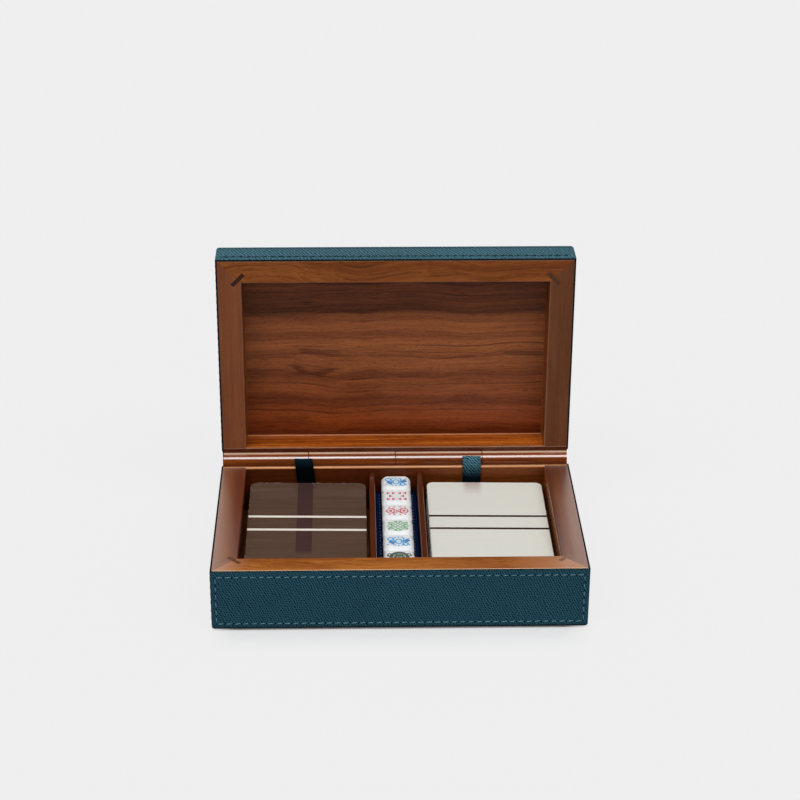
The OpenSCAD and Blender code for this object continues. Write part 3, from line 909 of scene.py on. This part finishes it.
for node, out in (
    ("lid_front_leather", Vector((0, -1, 0))),
    ("lid_left_leather", Vector((-1, 0, 0))),
    ("lid_right_leather", Vector((1, 0, 0))),
    ("lid_back_leather", Vector((0, 1, 0))),
    ("lid_top_leather", Vector((0, 0, 1))),
):
    bm = from_cad(node)
    bm.transform(shut)
    low = Vector([min(v.co[i] for v in bm.verts) for i in range(3)])
    high = Vector([max(v.co[i] for v in bm.verts) for i in range(3)])
    if out.z:
        left, right = low.x + sheet_side, high.x - sheet_side
        front, back = low.y + sheet_end, high.y - sheet_end
        corners = (left, front), (right, front), (right, back), (left, back)
        loop = [(x, y, high.z) for x, y in corners]
        rows = [[loop[i], loop[(i + 1) % 4]] for i in range(4)]
    elif out.y:
        face_y = low.y if out.y < 0 else high.y
        ease(bm, side_round, 2, y=face_y, z=low.z)
        for edge_x in (low.x, high.x):
            ease(bm, corner_round, 3, x=edge_x, y=face_y)
        rows = [[(x, face_y, low.z + strip_up) for x in (low.x + strip_end, high.x - strip_end)]]
    else:
        face_x = low.x if out.x < 0 else high.x
        ease(bm, side_round, 2, x=face_x, z=lid_rim)
        rows = [[(face_x, y, lid_rim + strip_up) for y in (low.y + strip_end, axis.y - notch_end)]]
    if not out.z:
        for face in bm.faces:
            if abs(face.normal.dot(out)) < 0.6:
                face.material_index = 1
    bm.transform(opened)
    finishes = [lid_sheet_shaded_teal if out.z else lid_sheened_teal, lid_edge_paint]
    piece(bm, node + ".grained", "lid", finishes, [node])
    stitches = node.replace("leather", "stitches")
    sew(
        stitches, "lid", [deep_thread, teal_hole], rows, out, sew_pitch,
        length=0.66, thick=0.00042, hole=0.0005, place=opened,
    )

# Two decks of 54 cards: varnished board with rounded corners, each card a little out of true.
# Two thin lines cross the backs, and a soft band on each deck is a painted reflection of its strap.
# Both decks rock on the straps beneath them, and the left one has slid towards the dice.


def card_print(name, ground, line, lines, line_w, middle, deep, band=None, scuff=None):
    made, at = new_finish(name)
    x, y = (part_of(at, i) * 1000 for i in range(2))
    brushed = drawn_noise(at, (40.0, 350.0, 350.0), 0.6)
    cloud = noise(at, 22.0, 3.0)
    deep_ground = (*[c * deep for c in shade(ground)[:3]], 1)
    colour = mixed(limited(brushed * 0.9 + cloud * 0.4, 0.8, -0.02), deep_ground, ground)
    # band: a painted reflection of the strap, fading out towards the deck's front.
    if band:
        place, wide, soft, start, end, dark = band
        reach = between(y - middle.y * 1000, start, end)
        colour = mixed(limited(abs(x - place), -soft, wide * soft / 2 + 0.5) * reach, colour, dark)
    for place in lines:
        away = abs(y - middle.y * 1000 - place)
        colour = mixed(limited(away, -8.0, line_w * 4 + 0.5), colour, line)
    if scuff:
        half_x, half_y, bare_board = scuff
        from_left, from_back = x + (half_x - middle.x * 1000), (half_y + middle.y * 1000) - y
        inside = at.node("Math", {0: from_left, 1: from_back}, operation="MINIMUM")
        speck = noise(at, 520.0, 2.0)
        colour = mixed(limited(inside, -2.0, 1.1) * limited(speck, 14.0, -7.6), colour, bare_board)
    surface(
        at,
        {"Base Color": colour, "Roughness": 0.27, "IOR": 1.45},
        height=brushed,
        strength=0.04,
        depth=0.00003,
    )
    return made


def card_edges(name, light, dark):
    made, at = new_finish(name)
    layered = drawn_noise(at, (60.0, 60.0, 3000.0))
    colour = mixed(layered, dark, light)
    surface(
        at,
        {"Base Color": colour, "Roughness": 0.6 + layered * 0.2, "Specular IOR Level": 0.2},
        height=layered,
        strength=0.2,
        depth=0.00005,
    )
    return made


slid, rocked, tipped = Vector((0.0003, 0, 0)), math.radians(0.8), math.radians(0.35)
left_middle = sum(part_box("left_deck"), Vector()) / 2 + slid
right_middle = sum(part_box("right_deck"), Vector()) / 2
brown_print = card_print(
    "brown_card_print", "#665043", "#efe8dc",
    lines=(6.51, -7.34), line_w=2.1, middle=left_middle, deep=0.4,
    band=(-49.5, 8.4, 4.0, -33.0, -29.0, "#43302f"), scuff=(31.5, 44.0, "#b9b0a4"),
)
# On the ivory deck the band is a painted reflection and shadow of the strap.
ivory_print = card_print(
    "ivory_card_print", "#e4e5dc", "#302421",
    lines=(6.31, -7.09), line_w=2.0, middle=right_middle, deep=0.93,
    band=(42.0, 9.0, 0.35, 30.0, 52.0, "#9d8079"),
)
brown_edges = card_edges("brown_card_edges", "#9a8d82", "#4e4138")
# The ivory deck's edges are painted darker than its cards: painted shade in the narrow gaps beside
# it.
ivory_shaded_edges = card_edges("ivory_card_edges", "#8f8576", "#5f564a")
cards, card_corner, card_share = 54, 0.0036, 0.94
most_slip, most_turn = 0.25, 0.12

for node, printed, edges, slot, seed, middle in (
    ("left_deck", brown_print, brown_edges, "brown_cards", 4, left_middle),
    ("right_deck", ivory_print, ivory_shaded_edges, "ivory_cards", 9, right_middle),
):
    chance = random.Random(seed)
    low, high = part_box(node)
    card_t = (high.z - low.z) / cards
    card = bmesh.new()
    bmesh.ops.create_grid(card, x_segments=1, y_segments=1, size=0.5)
    bmesh.ops.scale(card, verts=card.verts, vec=(high.x - low.x, high.y - low.y, 1))
    bmesh.ops.bevel(
        card, geom=card.verts[:], offset=card_corner, offset_type="OFFSET",
        segments=6, profile=0.5, affect="VERTICES", material=-1,
    )
    grown = bmesh.ops.extrude_face_region(card, geom=card.faces[:])["geom"]
    raised = [v for v in grown if isinstance(v, bmesh.types.BMVert)]
    bmesh.ops.translate(card, verts=raised, vec=(0, 0, card_t * card_share))
    bmesh.ops.recalc_face_normals(card, faces=card.faces)
    for face in card.faces:
        face.material_index = int(abs(face.normal.z) < 0.5)
    one = bpy.data.meshes.new("card")
    card.to_mesh(one)
    card.free()
    bm = bmesh.new()
    for i in range(cards):
        top = i == cards - 1
        before = len(bm.verts)
        bm.from_mesh(one)
        bm.verts.ensure_lookup_table()
        slip = Vector((*[chance.uniform(-most_slip, most_slip) for _ in range(2)], 0))
        lift = low.z + i * card_t + (card_t * 0.06 if top else 0)
        turn = 0 if top else math.radians(chance.uniform(-most_turn, most_turn))
        spot = Vector((middle.x, middle.y, lift)) + slip * (0 if top else 0.001)
        lie = Matrix.Translation(spot) @ Matrix.Rotation(turn, 4, "Z")
        bmesh.ops.transform(bm, verts=bm.verts[before:], matrix=lie)
    bpy.data.meshes.remove(one)
    bmesh.ops.rotate(bm, verts=bm.verts, cent=middle, matrix=Matrix.Rotation(rocked, 3, "Y"))
    if node == "left_deck":
        foot = (0, low.y, low.z)
        bmesh.ops.rotate(bm, verts=bm.verts, cent=foot, matrix=Matrix.Rotation(tipped, 3, "X"))
    piece(bm, node + ".cards", node, [printed, edges], [node])

# Six white dice in a row: moulded cubes with rounded edges and corners, each face in one colour.
# All are alike and lie with different faces up: ornaments in blue, red and green, and ten red pips.
# The prints sit a little forward of the middle, and each face is painted paler at two sides: a
# painted highlight.

tiles, tile_mm = 6, 20
print_set, print_tall = 0.6, 0.93
die_finish, at = new_finish("printed_dice")
sheet = at.node("UVMap", uv_map="face_print")
tile = part_of(sheet, 0) * tiles
kind = at.node("Math", {0: tile}, operation="FLOOR")
u = (tile - kind - 0.5) * tile_mm
v = ((part_of(sheet, 1) * tiles - 0.5) * tile_mm + print_set) * print_tall


def inked(distance, crisp=6.0):
    return limited(distance, -crisp, 0.5)


def either(*masks):
    best = masks[0]
    for other in masks[1:]:
        best = at.node("Math", {0: best, 1: other}, operation="MAXIMUM")
    return best


def face_is(number):
    return at.node("Math", {0: kind, 1: number, 2: 0.1}, operation="COMPARE")


def circle(x, y, a, b, r):
    return ((x - a) * (x - a) + (y - b) * (y - b)) ** 0.5 - r


worn = noise(sheet, 260.0, 1.0)
broken, rubbed = limited(worn, 7.0, -2.4), limited(worn, 7.0, -1.9)
m, n = abs(u), abs(v)
pips = either(
    *[
        inked(either(abs(n - y) - (m - x) * 0.6 - 0.63, m - x - 0.95))
        for x, y in ((1.5, 3.1), (4.4, 3.1), (3.1, 0.0))
    ]
)
wheel = either(
    inked(abs(circle(m, n, 0.0, 0.0, 4.3)) - 0.9),
    inked(abs(circle(m, n, 0.0, 0.0, 2.1)) - 0.7),
    inked(abs(circle(m, n, 4.9, 2.2, 1.1)) - 0.5),
    inked(abs(m - n * 0.6) - 0.5) * inked(circle(m, n, 0.0, 0.0, 4.6)),
)
lozenge = inked(m * 0.9 + n * 0.65 - 3.4)
within = inked(u * u / 34 + v * v / 24 - 1, 3.0)
scrolls = either(
    inked(circle(m, n, 3.6, 0.3, 0.9)),
    inked(abs(circle(m, n, 3.6, 0.3, 1.95)) - 0.4),
    inked(abs(m * 1.1 - n) - 0.42) * inked(m - 2.6),
    inked(abs(u * 0.9 - v - 1.4) - 0.3) * inked(m - 2.2),
    inked(circle(m, n, 5.9, 0.0, 0.45)),
    *[inked(circle(m, n, x, y, 0.55)) for x, y in ((1.6, 3.9), (4.2, 3.6))],
)
cores = either(
    inked(abs(u - v * 0.3 - 4.0) * 0.7 + abs(v - 0.6) * 0.75 - 1.5),
    inked(abs(u + v * 0.4 + 3.9) * 0.8 + abs(v + 0.9) * 0.6 - 1.4),
)
wedges = either(
    cores,
    inked(abs(circle(m, n, 0.0, 0.4, 1.6)) - 0.42),
    inked(abs(circle(u, v, -4.2, 2.2, 1.4)) - 0.42),
    inked(abs(circle(u, v, 3.6, -2.6, 1.3)) - 0.42),
    inked(abs(m - 2.3 - n * 0.12) - 0.32) * inked(n - 3.4),
    *[inked(circle(m, n, x, y, 0.5)) for x, y in ((1.9, 3.6), (5.6, 3.0), (0.0, 3.9))],
)
weave = (at.node("Math", {0: way / 2.6}, operation="FRACT") for way in (u * 0.9 + v, u * 0.9 - v))
net = either(*[abs(way - 0.5) for way in weave])
lattice = either(
    limited(net, 9.0, -2.7) * within,
    *[inked(circle(m, n, x, y, 0.8)) for x, y in ((3.6, 1.3), (4.6, 3.0), (1.2, 4.0))],
)
ink = either(
    wedges * rubbed * face_is(0),
    scrolls * broken * face_is(2),
    lattice * broken * face_is(3),
    within * (face_is(0) * 0.15 + face_is(3) * 0.1),
    pips * face_is(1),
    wheel * rubbed * face_is(4),
    inked(circle(m, n, 0.0, 0.0, 4.9)) * face_is(4) * 0.55,
    lozenge * face_is(5),
)
inks = [shade(c) for c in ("#009ad2", "#bd1030", "#c4102c", "#12983a", "#16371f", "#23272b")]
stops = [(i / tiles, c) for i, c in enumerate(inks)]
tone = at.node("ValToRGB", {"Fac": (kind + 0.5) / tiles}, stops=stops, steps="CONSTANT")
tone = mixed(cores * face_is(0), tone, "#0076b8")
cast = noise(at, 120.0, 2.0)
# Paler towards the left and right of each face: a painted highlight on the rounded edges.
body = mixed(limited(m, 0.5, -2.6), mixed(cast, "#e1e3e6", "#e9ebed"), "#f4f5f7")
surface(
    at,
    {
        "Base Color": mixed(ink * 0.95, body, tone),
        "Roughness": 0.4 + cast * 0.1 + ink * 0.15,
        "IOR": 1.45,
        "Specular IOR Level": 0.25,
    },
    height=cast - ink * 0.4,
    strength=0.05,
    depth=0.00005,
)

die_round, corner_reach, broad_face = 0.003, 0.0111, 5e-5
print_order = [(2, True), (1, False), (0, True), (0, False), (1, True), (2, False)]
for number, top_face in ((1, 0), (2, 1), (3, 2), (4, 3), (5, 0), (6, 4)):
    node = f"die_{number}"
    low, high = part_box(node)
    middle = (low + high) / 2
    bm = bmesh.new()
    bmesh.ops.create_cube(bm, size=high.x - low.x)
    bmesh.ops.bevel(
        bm, geom=bm.edges[:], offset=die_round, offset_type="OFFSET",
        segments=7, profile=0.5, affect="EDGES", material=-1,
    )
    broad = {e for face in bm.faces if face.calc_area() > broad_face for e in face.edges}
    bmesh.ops.subdivide_edges(bm, edges=list(broad), cuts=7, use_grid_fill=True)
    for corner in bm.verts:
        corner.co *= min(1, corner_reach / corner.co.length)
    prints = bm.loops.layers.uv.new("face_print")
    for face in bm.faces:
        facing = max(range(3), key=lambda i: abs(face.normal[i]))
        printed = (top_face + print_order.index((facing, face.normal[facing] > 0))) % tiles
        flat_axes = [i for i in range(3) if i != facing]
        for corner in face.loops:
            u_mm, v_mm = (corner.vert.co[i] * 1000 for i in flat_axes)
            u_tile, v_tile = 0.5 + u_mm / tile_mm, 0.5 + v_mm / tile_mm
            corner[prints].uv = ((printed + u_tile) / tiles, v_tile / tiles)
    bmesh.ops.translate(bm, verts=bm.verts, vec=middle)
    piece(bm, node + ".printed", node, [die_finish], [node])
